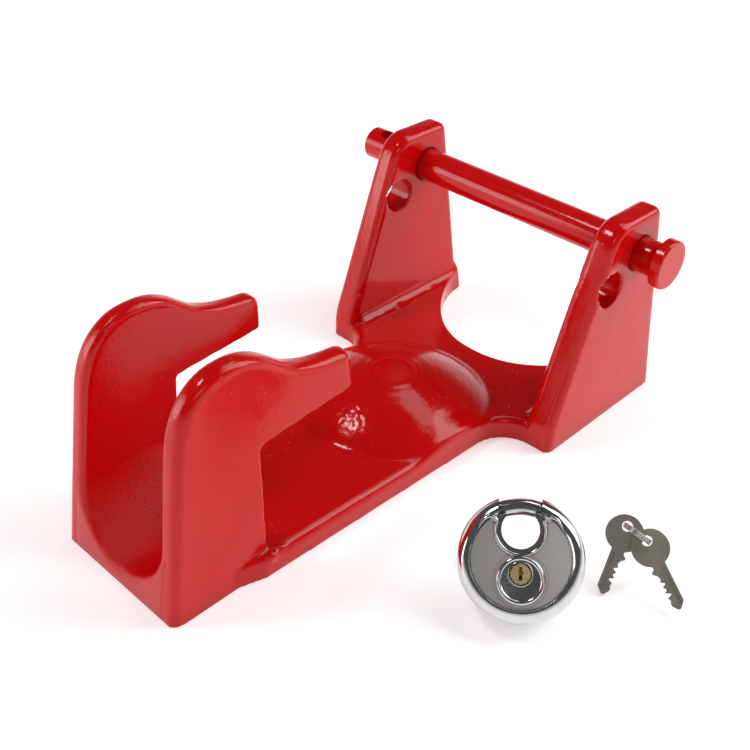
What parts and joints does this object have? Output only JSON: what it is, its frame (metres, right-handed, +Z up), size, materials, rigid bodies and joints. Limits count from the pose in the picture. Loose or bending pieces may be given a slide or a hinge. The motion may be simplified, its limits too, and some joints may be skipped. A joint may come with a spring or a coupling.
{
  "type": "trailer coupling clamp with padlock",
  "caption": "Cast steel clamp that locks onto a trailer coupling: hooked fork, domed plate, uprights with a headed pin, disc padlock and keys.",
  "frame": {"origin": "underside of the casting, below the centre of the dome", "axes": "+X from the fork to the uprights, +Y across the part to the pin's drilled end, +Z up"},
  "size_m": [0.3383, 0.3233, 0.1295],
  "materials": {
    "casting_enamel": "glossy deep red enamel over a sand casting",
    "pin_enamel": "glossy deep red enamel over turned steel",
    "stainless_front": "polished rim, satin face",
    "stainless_back": "polished",
    "stainless_boss": "bright polished",
    "hardened_steel": "bright plated",
    "zinc_core": "as cast",
    "brass_housing": "machined",
    "brass_plug": "polished",
    "cam_steel": "dull",
    "spring_steel": "bright drawn",
    "brass_pins": "machined",
    "ball_steel": "polished",
    "nickel_left": "nickel plated, worn",
    "nickel_right": "nickel plated, worn",
    "ring_steel": "bright wire"
  },
  "bodies": {
    "clamp": {"clamp_body": "casting_enamel"},
    "pin": {"locking_pin": "pin_enamel"},
    "padlock": {"case_front": "stainless_front", "case_back": "stainless_back", "keyhole_boss": "stainless_boss", "lock_core": "zinc_core", "cylinder_housing": "brass_housing", "driver_pins": "brass_pins", "pin_springs": "spring_steel", "chamber_cap": "brass_housing", "detent_ball": "ball_steel", "detent_spring": "spring_steel"},
    "shackle": {"shackle": "hardened_steel"},
    "plug": {"cylinder_plug": "brass_plug", "key_pins": "brass_pins", "plug_cam": "cam_steel", "cam_clip": "spring_steel", "drive_pin": "cam_steel"},
    "ring": {"key_ring": "ring_steel"},
    "left_key": {"key_left": "nickel_left"},
    "right_key": {"key_right": "nickel_right"}
  },
  "joints": [
    {"name": "pin_slide", "type": "slide", "parent": "clamp", "child": "pin", "axis": [0, -1, 0], "range_m": [-0.0076, 0.206]},
    {"name": "padlock_lift", "type": "slide", "parent": "clamp", "child": "padlock", "axis": [0, 0, 1], "range_m": [0, 0.12]},
    {"name": "shackle_swing", "type": "hinge", "parent": "padlock", "child": "shackle", "pos_m": [-0.0642, -0.143, 0.0278], "axis": [-0.6101, -0.3695, 0.7009], "range_deg": [0, 65]},
    {"name": "plug_turn", "type": "hinge", "parent": "padlock", "child": "plug", "pos_m": [-0.06762, -0.1463, 0.02308], "axis": [0.6101, 0.3695, -0.7009], "range_deg": [0, 90]},
    {"name": "ring_lift", "type": "slide", "parent": "clamp", "child": "ring", "axis": [0, 0, 1], "range_m": [0, 0.12]},
    {"name": "left_key_swing", "type": "hinge", "parent": "ring", "child": "left_key", "pos_m": [-0.007, -0.16525, 0.02663], "axis": [-0.6739, -0.2902, 0.6794], "range_deg": [-30, 0]},
    {"name": "right_key_swing", "type": "hinge", "parent": "ring", "child": "right_key", "pos_m": [-0.0071, -0.17685, 0.02497], "axis": [-0.6739, -0.2902, 0.6794], "range_deg": [0, 30]}
  ],
  "couplings": [
    {"joint": "shackle_swing", "follows": "plug_turn", "ratio": 0.72222}
  ]
}
